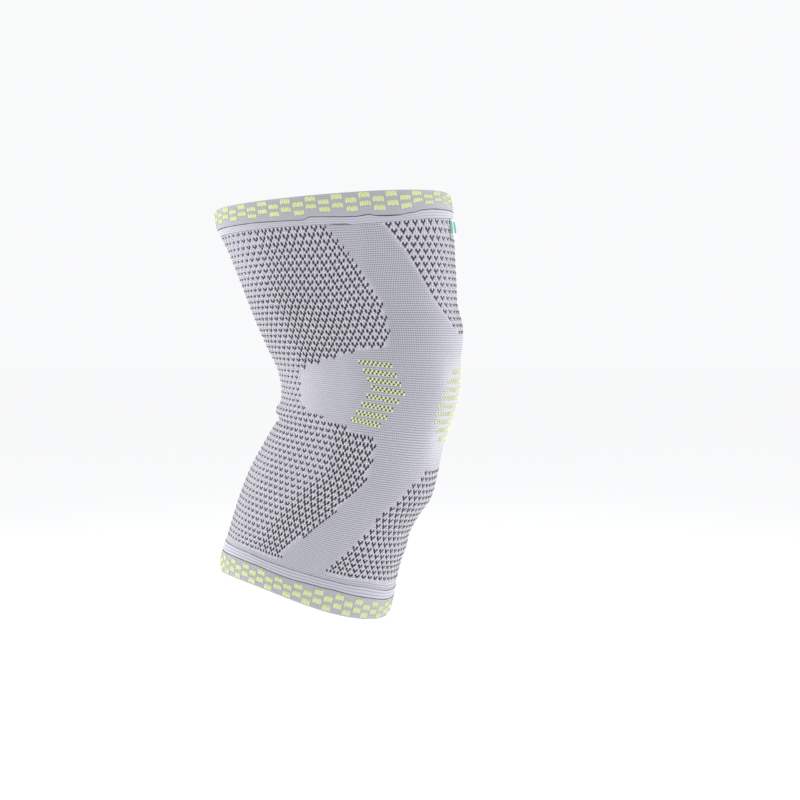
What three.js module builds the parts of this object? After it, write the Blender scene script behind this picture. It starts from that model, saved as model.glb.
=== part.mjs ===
import * as THREE from 'three';

// Knee brace: a knitted sleeve that is pulled over a slightly bent knee, in its worn form.
// Millimetres, +Z up. The front of the knee faces -Y and its outer side faces -X.
// The origin is the middle of the knee, inside the sleeve.

// Lengths along the leg, from the middle of the knee to each free rim
const thighLength = 131;
const calfLength = 143;

// Depth from front to back and width from side to side, over the knit
const thighDepth = 161;
const thighWidth = 114;
const kneeDepth = 120;
const kneeWidth = 102;
const calfDepth = 118;
const calfWidth = 99;

// Angles in degrees: how far each limb leans back from the vertical, and how each rim is pulled.
// The top rim rises to the front, and the bottom rim drops to the front.
const thighLeanAngle = 13.2;
const calfLeanAngle = 20.6;
const topRimAngle = 4;
const bottomRimAngle = 13.3;

// How far the bottom rim is drawn up each side of the calf, how much more of that lies towards
// the back, and the length of knit over which it fades out
const rimLift = 5.9;
const rimLiftBack = 5.4;
const rimLiftReach = 45;

// The length on each side of the knee over which the bend is spread
const bendReach = 46;

// The knit, and the narrow plain band beside each welt, which stands a little proud
const wall = 1.6;
const topBand = 4.8;
const bottomBand = 7.3;
const bandRise = 0.5;
const bandEdge = 0.9;

// The welts: the knit folded over at each rim, with a hem that lies inside the sleeve
const topWelt = 15.2;
const bottomWelt = 15.4;
const weltRise = 0.6;
const weltCrown = 0.3;
const weltEdge = 1.3;
const hemWall = 1.2;
const hemReach = 4;

// The folded tag under the top band, at the middle of the front
const tagWidth = 12;
const tagHeight = 13;
const tagWall = 1.1;
const tagFlare = 1;

// Clearance between pieces that touch
const gap = 0.3;

// Fineness of the faces
const facesAround = 64;
const outerRows = 30;
const innerRows = 20;
const tagCells = 4;
const nudge = 0.01;
const easing = 0.08;

// Sections of the leg from the top rim down. Along is a share of the thigh's length above the
// knee and of the calf's below it. Front, back and side are shares of half the depth and width,
// which run evenly from the knee's to the rim's. The corners are the exponents of a rounded
// outline, where 2 is an ellipse. Turn is the share of the way from the bottom rim's slope to
// the top rim's.
const sections = [
  { along: 1.0, front: 0.965, back: 0.99, side: 1.0, frontCorner: 2.2, backCorner: 2.2, turn: 1.0 },
  { along: 0.9, front: 0.985, back: 1.025, side: 1.0, frontCorner: 2.2, backCorner: 2.3, turn: 0.97 },
  { along: 0.75, front: 0.982, back: 1.01, side: 1.0, frontCorner: 2.2, backCorner: 2.4, turn: 0.93 },
  { along: 0.55, front: 0.974, back: 1.01, side: 1.0, frontCorner: 2.2, backCorner: 2.5, turn: 0.87 },
  { along: 0.46, front: 0.969, back: 1.015, side: 1.0, frontCorner: 2.25, backCorner: 2.5, turn: 0.825 },
  { along: 0.35, front: 1.005, back: 1.02, side: 1.0, frontCorner: 2.35, backCorner: 2.5, turn: 0.755 },
  { along: 0.25, front: 0.985, back: 1.017, side: 1.0, frontCorner: 2.4, backCorner: 2.5, turn: 0.68 },
  { along: 0.2, front: 0.967, back: 1.007, side: 1.0, frontCorner: 2.4, backCorner: 2.5, turn: 0.64 },
  { along: 0.1, front: 0.974, back: 0.98, side: 1.0, frontCorner: 2.5, backCorner: 2.4, turn: 0.56 },
  { along: 0.0, front: 0.971, back: 0.972, side: 1.0, frontCorner: 2.5, backCorner: 2.4, turn: 0.47 },
  { along: -0.1, front: 0.925, back: 0.965, side: 1.005, frontCorner: 2.5, backCorner: 2.3, turn: 0.36 },
  { along: -0.2, front: 0.91, back: 0.985, side: 1.015, frontCorner: 2.4, backCorner: 2.2, turn: 0.26 },
  { along: -0.3, front: 0.946, back: 1.03, side: 1.03, frontCorner: 2.3, backCorner: 2.1, turn: 0.18 },
  { along: -0.42, front: 0.977, back: 1.08, side: 1.05, frontCorner: 2.2, backCorner: 2.0, turn: 0.11 },
  { along: -0.5, front: 0.925, back: 1.095, side: 1.06, frontCorner: 2.1, backCorner: 2.0, turn: 0.08 },
  { along: -0.6, front: 0.887, back: 1.1, side: 1.06, frontCorner: 2.1, backCorner: 2.0, turn: 0.05 },
  { along: -0.66, front: 0.907, back: 1.096, side: 1.057, frontCorner: 2.1, backCorner: 2.0, turn: 0.037 },
  { along: -0.75, front: 0.913, back: 1.085, side: 1.05, frontCorner: 2.1, backCorner: 2.0, turn: 0.02 },
  { along: -0.9, front: 0.965, back: 1.06, side: 1.02, frontCorner: 2.1, backCorner: 2.0, turn: 0.0 },
  { along: -1.0, front: 0.985, back: 0.985, side: 1.0, frontCorner: 2.1, backCorner: 2.0, turn: 0.0 },
];

// Folds of the knit. Along and reach are shares of the knee's depth, measured up the leg from
// the middle of the knee. Angle is where a fold is deepest, in degrees from the front, spread is
// how far it runs around, and rise is a share of the wall, with hollows below zero.
const folds = [
  { along: -0.14, reach: 0.04, angle: 180, spread: 48, rise: 1.7 },
  { along: -0.2, reach: 0.03, angle: 180, spread: 52, rise: -1.2 },
];

const radians = THREE.MathUtils.degToRad;

// A column of the section table, read as a smooth curve through its rows.
function column(name, along) {
  const last = sections.length - 1;
  const at = THREE.MathUtils.clamp(along, sections[last].along, sections[0].along);
  let row = 0;
  while (row < last - 1 && at < sections[row + 1].along) row += 1;
  const slope = (index) => {
    const above = sections[Math.max(index - 1, 0)];
    const below = sections[Math.min(index + 1, last)];
    return (above[name] - below[name]) / (above.along - below.along);
  };
  const from = sections[row];
  const to = sections[row + 1];
  const span = to.along - from.along;
  const t = (at - from.along) / span;
  const rest = 1 - t;
  return (
    from[name] * (1 + 2 * t) * rest * rest +
    to[name] * (1 + 2 * rest) * t * t +
    span * (slope(row) * t * rest * rest - slope(row + 1) * rest * t * t)
  );
}

// The point of the leg's middle line at a distance up from the knee, as steps along its lean.
function middle(distance) {
  const steps = 40;
  const step = distance / steps;
  const point = new THREE.Vector3();
  for (let index = 0; index < steps; index += 1) {
    const at = (index + 0.5) * step;
    const upward = THREE.MathUtils.smoothstep(at, -bendReach, bendReach);
    const lean = radians(THREE.MathUtils.lerp(-calfLeanAngle, thighLeanAngle, upward));
    point.y += step * Math.sin(lean);
    point.z += step * Math.cos(lean);
  }
  return point;
}

// How far the knit's outer face stands from the middle line, around the angle from the front.
function reachOut(distance, angle) {
  const up = distance > 0;
  const along = distance / (up ? thighLength : calfLength);
  const share = Math.abs(along);
  const depth = THREE.MathUtils.lerp(kneeDepth, up ? thighDepth : calfDepth, share) / 2;
  const width = THREE.MathUtils.lerp(kneeWidth, up ? thighWidth : calfWidth, share) / 2;
  const ahead = Math.cos(angle) > 0;
  const deep = depth * column(ahead ? 'front' : 'back', along);
  const wide = width * column('side', along);
  const corner = column(ahead ? 'frontCorner' : 'backCorner', along);
  const forward = Math.abs(Math.cos(angle) / deep) ** corner;
  const sideways = Math.abs(Math.sin(angle) / wide) ** corner;
  return (forward + sideways) ** (-1 / corner);
}

// The height of all the folds at a place on the knit.
function foldAt(distance, angle) {
  let height = 0;
  for (const fold of folds) {
    const above = (distance / kneeDepth - fold.along) / fold.reach;
    const turn = THREE.MathUtils.euclideanModulo(angle - radians(fold.angle) + Math.PI, 2 * Math.PI);
    const beside = (turn - Math.PI) / radians(fold.spread);
    height += fold.rise * wall * Math.exp(-above * above - beside * beside);
  }
  return height;
}

// How far the knit near the bottom rim is drawn up the leg at a place.
function drawnUp(distance, angle) {
  const above = THREE.MathUtils.smoothstep(distance, -calfLength, rimLiftReach - calfLength);
  const aside = Math.abs(Math.sin(angle));
  const eased = (aside * aside) / (aside + easing);
  return (1 - above) * eased * (rimLift - rimLiftBack * Math.cos(angle));
}

// A point on the knit's outer face.
function skin(distance, angle) {
  const at = distance + drawnUp(distance, angle);
  const along = at / (at > 0 ? thighLength : calfLength);
  const slope = radians(THREE.MathUtils.lerp(bottomRimAngle, -topRimAngle, column('turn', along)));
  const reach = reachOut(at, angle) + foldAt(at, angle);
  const forward = reach * Math.cos(angle);
  const point = middle(at);
  point.x -= reach * Math.sin(angle);
  point.y -= forward * Math.cos(slope);
  point.z -= forward * Math.sin(slope);
  return point;
}

// A point above or below that face, square to it.
function place(distance, angle, rise) {
  const acrossIt = skin(distance, angle + nudge).sub(skin(distance, angle - nudge));
  const alongIt = skin(distance + nudge, angle).sub(skin(distance - nudge, angle));
  const outward = new THREE.Vector3().crossVectors(acrossIt, alongIt).normalize();
  if (outward.dot(skin(distance, angle).sub(middle(distance))) < 0) outward.negate();
  return skin(distance, angle).addScaledVector(outward, rise);
}

// A closed mesh from points and triangles, with its faces turned outwards.
function solid(points, triangles) {
  const scratch = new THREE.Vector3();
  let volume = 0;
  for (const [a, b, c] of triangles) {
    volume += points[a].dot(scratch.crossVectors(points[b], points[c]));
  }
  const turned = volume > 0 ? triangles : triangles.map(([a, b, c]) => [a, c, b]);
  const geometry = new THREE.BufferGeometry().setFromPoints(points);
  geometry.setIndex(turned.flat());
  geometry.computeVertexNormals();
  return geometry;
}

// A ring around the leg from a closed outline of distances and rises.
function ring(outline) {
  const points = [];
  const triangles = [];
  for (let face = 0; face < facesAround; face += 1) {
    const angle = (face / facesAround) * 2 * Math.PI;
    for (const { distance, rise } of outline) points.push(place(distance, angle, rise));
  }
  for (let face = 0; face < facesAround; face += 1) {
    const here = face * outline.length;
    const beside = ((face + 1) % facesAround) * outline.length;
    for (let corner = 0; corner < outline.length; corner += 1) {
      const next = (corner + 1) % outline.length;
      triangles.push([here + corner, beside + corner, beside + next]);
      triangles.push([here + corner, beside + next, here + next]);
    }
  }
  return solid(points, triangles);
}

// The knit tube between the welts, with the proud band at each end.
function sleeveBody() {
  const top = thighLength - topWelt - gap;
  const bottom = bottomWelt + gap - calfLength;
  const high = top - topBand;
  const low = bottom + bottomBand;
  const outline = [
    { distance: top, rise: bandRise },
    { distance: high + bandEdge, rise: bandRise },
  ];
  for (let row = 0; row <= outerRows; row += 1) {
    outline.push({ distance: THREE.MathUtils.lerp(high, low, row / outerRows), rise: 0 });
  }
  outline.push({ distance: low - bandEdge, rise: bandRise });
  outline.push({ distance: bottom, rise: bandRise });
  for (let row = 0; row <= innerRows; row += 1) {
    outline.push({ distance: THREE.MathUtils.lerp(bottom, top, row / innerRows), rise: -wall });
  }
  return ring(outline);
}

// A folded welt. Side is 1 at the top rim and -1 at the bottom one.
function welt(side, length, height) {
  const seam = length - height;
  const slot = wall + gap;
  const inside = slot + hemWall;
  const mid = (weltRise - inside) / 2;
  const outline = [
    { distance: seam, rise: bandRise - gap },
    { distance: seam + bandEdge, rise: weltRise },
    { distance: seam + height / 2, rise: weltRise + weltCrown },
    { distance: length - weltEdge, rise: weltRise },
    { distance: length - weltEdge / 4, rise: (weltRise + mid) / 2 },
    { distance: length, rise: mid },
    { distance: length - weltEdge / 4, rise: (mid - inside) / 2 },
    { distance: length - weltEdge, rise: -inside },
    { distance: seam, rise: -inside },
    { distance: seam - hemReach, rise: -inside },
    { distance: seam - hemReach, rise: -slot },
    { distance: seam, rise: -slot },
  ];
  return ring(outline.map(({ distance, rise }) => ({ distance: side * distance, rise })));
}

// The folded tag, hung from the top band and lifting a little towards its lower end.
function sideTag() {
  const points = [];
  const triangles = [];
  const top = thighLength - topWelt - topBand - 2 * gap;
  const radius = (thighDepth + thighWidth) / 4;
  const halfTurn = tagWidth / 2 / radius;
  const lines = tagCells + 1;
  const index = (layer, row, line) => (layer * lines + row) * lines + line;
  for (let layer = 0; layer < 2; layer += 1) {
    for (let row = 0; row < lines; row += 1) {
      for (let line = 0; line < lines; line += 1) {
        const down = row / tagCells;
        const turn = THREE.MathUtils.lerp(-halfTurn, halfTurn, line / tagCells);
        const rise = gap + layer * tagWall + tagFlare * down * down;
        points.push(place(top - tagHeight * down, turn, rise));
      }
    }
  }
  const quad = (a, b, c, d) => triangles.push([a, b, c], [a, c, d]);
  for (let row = 0; row < tagCells; row += 1) {
    for (let line = 0; line < tagCells; line += 1) {
      quad(index(0, row, line), index(0, row, line + 1), index(0, row + 1, line + 1), index(0, row + 1, line));
      quad(index(1, row, line), index(1, row + 1, line), index(1, row + 1, line + 1), index(1, row, line + 1));
    }
  }
  for (let cell = 0; cell < tagCells; cell += 1) {
    quad(index(0, 0, cell), index(1, 0, cell), index(1, 0, cell + 1), index(0, 0, cell + 1));
    quad(index(0, cell + 1, 0), index(1, cell + 1, 0), index(1, cell, 0), index(0, cell, 0));
    const last = tagCells;
    quad(index(0, last, cell + 1), index(1, last, cell + 1), index(1, last, cell), index(0, last, cell));
    quad(index(0, cell, last), index(1, cell, last), index(1, cell + 1, last), index(0, cell + 1, last));
  }
  return solid(points, triangles);
}

const knit = new THREE.MeshStandardMaterial({ color: '#c2c0c9', roughness: 0.92, metalness: 0 });
const weltKnit = new THREE.MeshStandardMaterial({ color: '#ccd1bb', roughness: 0.9, metalness: 0 });
const woven = new THREE.MeshStandardMaterial({ color: '#bfe8d9', roughness: 0.8, metalness: 0 });

function piece(name, geometry, material) {
  const mesh = new THREE.Mesh(geometry, material);
  mesh.name = name;
  return mesh;
}

const brace = new THREE.Group();
brace.add(piece('sleeve_body', sleeveBody(), knit));
brace.add(piece('top_welt', welt(1, thighLength, topWelt), weltKnit));
brace.add(piece('bottom_welt', welt(-1, calfLength, bottomWelt), weltKnit));
brace.add(piece('side_tag', sideTag(), woven));

export default brace;
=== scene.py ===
import math

import bpy
import numpy as np
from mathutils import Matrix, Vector


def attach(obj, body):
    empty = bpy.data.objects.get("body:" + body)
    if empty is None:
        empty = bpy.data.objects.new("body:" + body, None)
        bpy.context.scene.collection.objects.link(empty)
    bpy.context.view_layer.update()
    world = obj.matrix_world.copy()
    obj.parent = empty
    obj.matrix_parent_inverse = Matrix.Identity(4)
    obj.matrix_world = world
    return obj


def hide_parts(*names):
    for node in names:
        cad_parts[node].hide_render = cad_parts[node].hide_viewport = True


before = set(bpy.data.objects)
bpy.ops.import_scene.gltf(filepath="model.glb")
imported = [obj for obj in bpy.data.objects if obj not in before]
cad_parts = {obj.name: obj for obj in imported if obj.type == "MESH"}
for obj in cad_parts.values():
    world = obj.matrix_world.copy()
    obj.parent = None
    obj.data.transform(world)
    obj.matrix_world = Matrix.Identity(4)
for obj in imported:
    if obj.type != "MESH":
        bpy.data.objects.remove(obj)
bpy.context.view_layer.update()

# Knee brace: the knit, its welts and its tag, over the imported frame.
# Sizes are in millimetres, as in the part, and become metres where a mesh is made.

# Camera of the photograph
AZIMUTH, ELEVATION = 282.0, 2.5
DISTANCE = 0.967
LENS, SENSOR = 65.0, 36.0
AIM_RIGHT, AIM_UP = 0.0204, -0.00335

# The part's own sizes
THIGH_LENGTH, CALF_LENGTH = 131.0, 143.0
THIGH_DEPTH, THIGH_WIDTH = 161.0, 114.0
KNEE_DEPTH, KNEE_WIDTH = 120.0, 102.0
CALF_DEPTH, CALF_WIDTH = 118.0, 99.0
THIGH_LEAN, CALF_LEAN = 13.2, 20.6
TOP_RIM, BOTTOM_RIM = 4.0, 13.3
RIM_LIFT, RIM_LIFT_BACK, RIM_LIFT_REACH, EASING = 5.9, 5.4, 45.0, 0.08
BEND_REACH = 46.0
WALL = 1.6
TOP_BAND, BOTTOM_BAND = 4.8, 7.3
BAND_RISE, BAND_RIBS = 0.5, 3
TOP_WELT, BOTTOM_WELT = 15.2, 15.4
WELT_RISE, WELT_CROWN, WELT_EDGE = 0.6, 0.3, 1.3
HEM_WALL, HEM_REACH = 1.2, 4.0
TAG_WIDTH, TAG_HEIGHT, TAG_WALL, TAG_FLARE = 12.0, 13.0, 1.1, 1.0
GAP = 0.3

# The knit: marks around the sleeve and wales in a mark, then the rough height of a row of marks
# and the courses in it
MARKS, WALES = 74, 4
ROW, COURSES = 4.12, 3
# How much wider the columns of marks stand at the front than behind, and how much more at the knee
SPREAD, DRIFT = 0.0086, 0.021
# How far the open mesh lies under the plain knit
HOLLOW = 0.22
# Share of the material's height that the rows of marks fill
ROWS_SHARE = 0.999
# Height of a course in the bars
BAR_COURSE = 1.38
# Lengths of the rims around the leg
THIGH_ROUND, CALF_ROUND = 436.0, 344.0

COLUMNS = ("along", "front", "back", "side", "front_corner", "back_corner", "turn")
SECTIONS = np.array([
    (1.0, 0.965, 0.99, 1.0, 2.2, 2.2, 1.0),
    (0.9, 0.985, 1.025, 1.0, 2.2, 2.3, 0.97),
    (0.75, 0.982, 1.01, 1.0, 2.2, 2.4, 0.93),
    (0.55, 0.974, 1.01, 1.0, 2.2, 2.5, 0.87),
    (0.46, 0.969, 1.015, 1.0, 2.25, 2.5, 0.825),
    (0.35, 1.005, 1.02, 1.0, 2.35, 2.5, 0.755),
    (0.25, 0.985, 1.017, 1.0, 2.4, 2.5, 0.68),
    (0.2, 0.967, 1.007, 1.0, 2.4, 2.5, 0.64),
    (0.1, 0.974, 0.98, 1.0, 2.5, 2.4, 0.56),
    (0.0, 0.971, 0.972, 1.0, 2.5, 2.4, 0.47),
    (-0.1, 0.925, 0.965, 1.005, 2.5, 2.3, 0.36),
    (-0.2, 0.91, 0.985, 1.015, 2.4, 2.2, 0.26),
    (-0.3, 0.946, 1.03, 1.03, 2.3, 2.1, 0.18),
    (-0.42, 0.977, 1.08, 1.05, 2.2, 2.0, 0.11),
    (-0.5, 0.925, 1.095, 1.06, 2.1, 2.0, 0.08),
    (-0.6, 0.887, 1.1, 1.06, 2.1, 2.0, 0.05),
    (-0.66, 0.907, 1.096, 1.057, 2.1, 2.0, 0.037),
    (-0.75, 0.913, 1.085, 1.05, 2.1, 2.0, 0.02),
    (-0.9, 0.965, 1.06, 1.02, 2.1, 2.0, 0.0),
    (-1.0, 0.985, 0.985, 1.0, 2.1, 2.0, 0.0),
])[::-1]

# Folds behind the knee: place and reach as shares of the knee's depth, angle and spread in
# degrees, rise as a share of the wall
FOLDS = (
    (-0.14, 0.04, 180.0, 48.0, 1.7),
    (-0.2, 0.03, 180.0, 52.0, -1.2),
)

# Edges of the open mesh, as distance along the leg and columns of marks from the front centre
BACK_MESH = np.array([
    (113, 17.4), (101.5, 15.9), (91.5, 14.8), (81.5, 13.1), (71, 11.6), (61.5, 10.7), (53, 10.8),
    (34.5, 11.1), (33, 11.6), (31, 14.4), (29, 15.9), (25.5, 18.2), (23, 19.7), (20, 21.6),
    (15, 23.6), (9.5, 24.2), (2.5, 24.5), (-4.5, 24.5), (-9.5, 23.6), (-12, 22.2), (-14.5, 20.0),
    (-17, 18.1), (-19, 16.2), (-21.5, 14.0), (-23.5, 12.2), (-28.5, 12.2), (-39, 12.5),
    (-45.5, 12.6), (-52, 13.0), (-57, 13.7), (-67, 14.5), (-76, 15.3), (-85, 16.4), (-94.5, 17.7),
    (-106, 19.2), (-114, 20.0), (-120, 20.8),
])[::-1]
UPPER_FRONT = np.array([
    (113, 11.4), (106.5, 10.3), (96.5, 9.3), (91.5, 8.5), (84.5, 7.7), (76.5, 6.6), (69.5, 5.7),
    (63.5, 5.0), (57, 4.4), (51, 3.6), (46, 2.8), (42.5, 1.5), (40, 0.8),
])[::-1]
LOWER_FRONT = np.array([
    (-38.5, 4.2), (-42.5, 5.0), (-46.5, 5.9), (-50, 6.7), (-53.5, 7.5), (-58, 8.0), (-66, 8.7),
    (-74.5, 9.2), (-83, 9.9), (-92, 10.9), (-101, 12.1), (-115, 13.3), (-120, 13.7),
])[::-1]
UPPER_FRONT_END, LOWER_FRONT_END = 40.0, -38.0
MESH_FLOOR = -116.0
# Below this height the last marks are cut off by the band
STEM_FLOOR = -114.4

# Bars of bright stitches at each side: distance and column at the back end and at the front end
SIDE_BARS = (
    (23.5, 14.8, 22.0, 11.1), (18.0, 14.45, 16.2, 10.75), (12.8, 14.1, 10.9, 10.3),
    (7.8, 13.7, 5.6, 9.85), (2.5, 14.25, 0.6, 10.45), (-3.0, 14.8, -4.6, 11.0),
    (-8.3, 15.3, -9.7, 11.5), (-13.1, 15.7, -14.5, 12.0),
)
# Bars over the kneecap: distance, and columns from the front centre to each end
KNEE_BARS = (
    (19.0, 2.75), (13.6, 3.75), (8.6, 4.25), (3.8, 4.75), (-1.0, 5.0), (-5.7, 5.0),
    (-10.4, 4.75), (-15.2, 4.0), (-20.3, 2.75),
)
# How far each welt's sewn edge, and the far edge of the band beside it, is pulled up from its
# even line, by angle from the front
TOP_SEAM = np.array([
    (0, 3.2), (22, 3.2), (29, 2.4), (32, 1.2), (37, 0.4), (40, -0.5), (47, -0.8), (54, -0.3),
    (57, 0.7), (61, 0.2), (65, -0.3), (72, 0.0), (79, 0.5), (94, 1.6), (98, -0.2), (112, 0.4),
    (132, 1.2), (180, 1.0),
])
TOP_EDGE = np.array([
    (0, 3.4), (9, 2.9), (24, 2.3), (30, 1.8), (40, 0.8), (50, 0.3), (60, 0.0), (68, -0.2),
    (72, 0.5), (82, 1.0), (113, 1.5), (133, 1.6), (160, 1.4), (180, 1.4),
])
BOTTOM_SEAM = np.array([
    (0, -1.4), (14, -1.4), (31, -0.2), (43, 0.3), (60, 1.3), (69, 0.8), (79, 0.5), (91, -0.6),
    (102, -0.7), (110, -0.3), (119, 0.3), (180, 0.3),
])
BOTTOM_EDGE = np.array([
    (0, -2.9), (16, -2.8), (30, -1.2), (37, -0.3), (56, -0.5), (66, -0.2), (81, -0.2), (97, -0.5),
    (115, -0.6), (130, 0.5), (180, 0.3),
])


def smooth(x, low, high):
    t = np.clip((x - low) / (high - low), 0, 1)
    return t * t * (3 - 2 * t)


def mix(a, b, t):
    return a + (b - a) * t


# The sleeve's outer face, by distance along the leg and angle from the front

def column(name, along):
    """A named column of the sections, as a smooth curve through its values."""
    rows = SECTIONS[:, 0]
    values = SECTIONS[:, COLUMNS.index(name)]
    last = len(rows) - 1
    along = np.clip(along, rows[0], rows[-1])
    i = np.clip(np.searchsorted(rows, along, side="right") - 1, 0, last - 1)
    low, high = np.maximum(np.arange(last + 1) - 1, 0), np.minimum(np.arange(last + 1) + 1, last)
    slope = (values[high] - values[low]) / (rows[high] - rows[low])
    span = rows[i + 1] - rows[i]
    t = (along - rows[i]) / span
    r = 1 - t
    curve = values[i] * (1 + 2 * t) * r * r + values[i + 1] * (1 + 2 * r) * t * t
    return curve + span * (slope[i] * t * r * r - slope[i + 1] * r * t * t)


def middle(distance):
    """The bent middle line of the leg."""
    count = 40
    steps = (np.arange(count) + 0.5) / count
    upward = smooth(distance[..., None] * steps, -BEND_REACH, BEND_REACH)
    lean = np.radians(mix(-CALF_LEAN, THIGH_LEAN, upward))
    part = distance / count
    return part * np.sin(lean).sum(-1), part * np.cos(lean).sum(-1)


def reach_out(distance, angle):
    """From the middle line to the outer face, without folds."""
    up = distance > 0
    along = distance / np.where(up, THIGH_LENGTH, CALF_LENGTH)
    share = np.abs(along)
    depth = mix(KNEE_DEPTH, np.where(up, THIGH_DEPTH, CALF_DEPTH), share) / 2
    width = mix(KNEE_WIDTH, np.where(up, THIGH_WIDTH, CALF_WIDTH), share) / 2
    ahead = np.cos(angle) > 0
    deep = depth * np.where(ahead, column("front", along), column("back", along))
    wide = width * column("side", along)
    corner = np.where(ahead, column("front_corner", along), column("back_corner", along))
    forward = np.abs(np.cos(angle) / deep) ** corner
    return (forward + np.abs(np.sin(angle) / wide) ** corner) ** (-1 / corner)


def fold_at(distance, angle):
    """Rise of the folds behind the knee."""
    height = np.zeros(distance.shape)
    for along, reach, centre, spread, rise in FOLDS:
        above = (distance / KNEE_DEPTH - along) / reach
        turn = (angle - math.radians(centre) + math.pi) % (2 * math.pi) - math.pi
        height += rise * WALL * np.exp(-above ** 2 - (turn / math.radians(spread)) ** 2)
    return height


def drawn_up(distance, angle):
    """How far the bottom rim is drawn up at the sides."""
    above = smooth(distance, -CALF_LENGTH, RIM_LIFT_REACH - CALF_LENGTH)
    aside = np.abs(np.sin(angle))
    eased = aside * aside / (aside + EASING)
    return (1 - above) * eased * (RIM_LIFT - RIM_LIFT_BACK * np.cos(angle))


def skin(distance, angle):
    """A point of the outer face."""
    distance, angle = np.broadcast_arrays(np.asarray(distance, float), np.asarray(angle, float))
    distance = distance + drawn_up(distance, angle)
    along = distance / np.where(distance > 0, THIGH_LENGTH, CALF_LENGTH)
    slope = np.radians(mix(BOTTOM_RIM, -TOP_RIM, column("turn", along)))
    reach = reach_out(distance, angle) + fold_at(distance, angle)
    forward = reach * np.cos(angle)
    y, z = middle(distance)
    x = -reach * np.sin(angle)
    return np.stack([x, y - forward * np.cos(slope), z - forward * np.sin(slope)], -1)


def outward(distance, angle):
    """The direction away from the outer face."""
    step = 0.02
    across = skin(distance, angle + step) - skin(distance, angle - step)
    along = skin(distance + step, angle) - skin(distance - step, angle)
    normal = np.cross(along, across)
    return normal / np.linalg.norm(normal, axis=-1, keepdims=True)


def place(distance, angle, rise):
    """A point so far over the outer face."""
    distance, angle = np.broadcast_arrays(np.asarray(distance, float), np.asarray(angle, float))
    rise = np.broadcast_to(rise, distance.shape)
    return skin(distance, angle) + outward(distance, angle) * rise[..., None]


# Columns of marks run at a steady share of the way around, drawn backwards at the knee

TABLE_ROWS = np.linspace(-CALF_LENGTH, THIGH_LENGTH, 275)
TABLE_TURNS = np.linspace(0, 2 * math.pi, 721)
_ring = skin(TABLE_ROWS[:, None], TABLE_TURNS[None, :])
_steps = np.linalg.norm(np.diff(_ring, axis=1), axis=-1)
_arc = np.concatenate([np.zeros((len(TABLE_ROWS), 1)), np.cumsum(_steps, 1)], 1)
_arc /= _arc[:, -1:]
_drift = DRIFT * smooth(TABLE_ROWS, 100, 60) * smooth(TABLE_ROWS, -60, -10)
_column = MARKS * (_arc - (SPREAD + _drift[:, None]) * np.sin(2 * math.pi * _arc))
COLUMN_STEPS = 8
TABLE_COLUMNS = np.linspace(0, MARKS, MARKS * COLUMN_STEPS + 1)
TABLE_ANGLES = np.array([np.interp(TABLE_COLUMNS, row, TABLE_TURNS) for row in _column])


def angle_of(distance, marks):
    """The angle of a column of marks at a distance, read from the table."""
    distance, marks = np.broadcast_arrays(np.asarray(distance, float), np.asarray(marks, float))
    turns = np.floor(marks / MARKS)
    x = (marks - turns * MARKS) * COLUMN_STEPS
    y = np.clip(distance - TABLE_ROWS[0], 0, len(TABLE_ROWS) - 1.001)
    i, j = y.astype(int), np.minimum(x.astype(int), MARKS * COLUMN_STEPS - 1)
    fy, fx = y - i, x - j
    low = mix(TABLE_ANGLES[i, j], TABLE_ANGLES[i, j + 1], fx)
    high = mix(TABLE_ANGLES[i + 1, j], TABLE_ANGLES[i + 1, j + 1], fx)
    return mix(low, high, fy) + turns * 2 * math.pi


def from_front(marks):
    """Columns from the front centre, on either side."""
    marks = np.mod(marks, MARKS)
    return np.minimum(marks, MARKS - marks)


def course_wave(distance, marks):
    """How far the courses sag from the even rings, in millimetres."""
    side = from_front(marks)
    dip = -1.3 * np.exp(-((side - 17.5) / 3.2) ** 2)
    dip = dip * smooth(distance, 20, 45) * smooth(distance, 110, 80)
    drop = -2.2 * smooth(side, 20, 13)
    drop = drop * smooth(distance, -12, -36) * smooth(distance, -118, -95)
    return dip + drop


def open_mesh(distance, marks, soft):
    """1 in the open mesh and 0 in the plain knit, with a soft edge of so many columns."""
    side = from_front(marks)

    def past(amount):
        return smooth(amount, -soft, soft)

    back = past(side - np.interp(distance, *BACK_MESH.T))
    upper = past(np.interp(distance, *UPPER_FRONT.T) - side) * past(distance - UPPER_FRONT_END)
    lower = past(np.interp(distance, *LOWER_FRONT.T) - side) * past(LOWER_FRONT_END - distance)
    return past(distance - MESH_FLOOR) * np.maximum(back, np.maximum(upper, lower))


HIGH = THIGH_LENGTH - TOP_WELT - GAP - TOP_BAND
LOW = BOTTOM_WELT + GAP - CALF_LENGTH + BOTTOM_BAND
MARK_ROWS = int(round((HIGH - LOW) / ROW))
PITCH = (HIGH - LOW) / MARK_ROWS


def relief(distance, marks):
    """How far the open mesh lies under the plain knit."""
    inside = smooth(distance, LOW, LOW + 2) * smooth(distance, HIGH, HIGH - 2)
    return -HOLLOW * open_mesh(distance, marks, 0.3) * inside


# Meshes

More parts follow.
